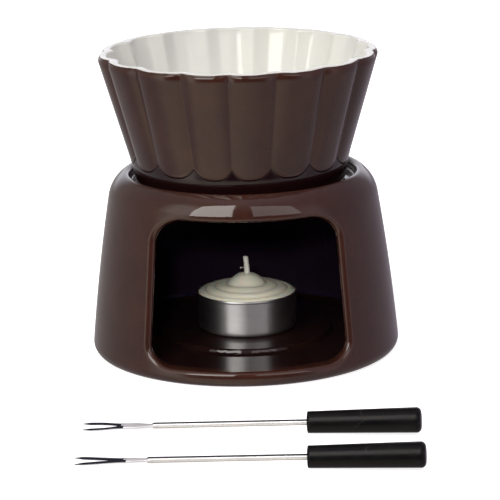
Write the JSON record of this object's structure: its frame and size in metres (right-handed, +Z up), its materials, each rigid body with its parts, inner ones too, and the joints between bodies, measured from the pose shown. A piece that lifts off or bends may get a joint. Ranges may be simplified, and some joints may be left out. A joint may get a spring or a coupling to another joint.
{
  "type": "fondue pot set",
  "caption": "Chocolate fondue set: a glazed candle stove with a front window, a fluted bowl that lifts out of its top, a tealight, and two-tined forks with black handles.",
  "frame": {"origin": "centre of the stove's foot ring, on the table", "axes": "+Z up, -Y towards the front, where the window is, and +X to the right, where the forks' handles lie"},
  "size_m": [0.116, 0.2111, 0.1113],
  "materials": {
    "stand_glaze": "glossy",
    "bowl_glaze": "glossy",
    "cup_aluminium": "satin",
    "wax": "satin",
    "wick_cotton": "matte",
    "sustainer_steel": "satin",
    "handle_plastic": "satin",
    "fork_steel": "polished"
  },
  "bodies": {
    "stove": {"stand": "stand_glaze"},
    "bowl": {"bowl": "bowl_glaze"},
    "tealight": {"tealight_cup": "cup_aluminium", "tealight_wax": "wax", "tealight_wick": "wick_cotton", "wick_sustainer": "sustainer_steel"},
    "fork_1": {"fork_1_handle": "handle_plastic", "fork_1_shaft": "fork_steel", "fork_1_tines": "fork_steel"},
    "fork_2": {"fork_2_handle": "handle_plastic", "fork_2_shaft": "fork_steel", "fork_2_tines": "fork_steel"}
  },
  "joints": [
    {"name": "bowl_lift", "type": "slide", "parent": "stove", "child": "bowl", "axis": [0, 0, 1], "range_m": [0, 0.08]},
    {"name": "tealight_slide", "type": "slide", "parent": "stove", "child": "tealight", "axis": [0, -1, 0], "range_m": [0, 0.08]},
    {"name": "fork_1_lift", "type": "slide", "parent": "stove", "child": "fork_1", "axis": [0, 0, 1], "range_m": [0, 0.08]},
    {"name": "fork_2_lift", "type": "slide", "parent": "stove", "child": "fork_2", "axis": [0, 0, 1], "range_m": [0, 0.08]}
  ]
}
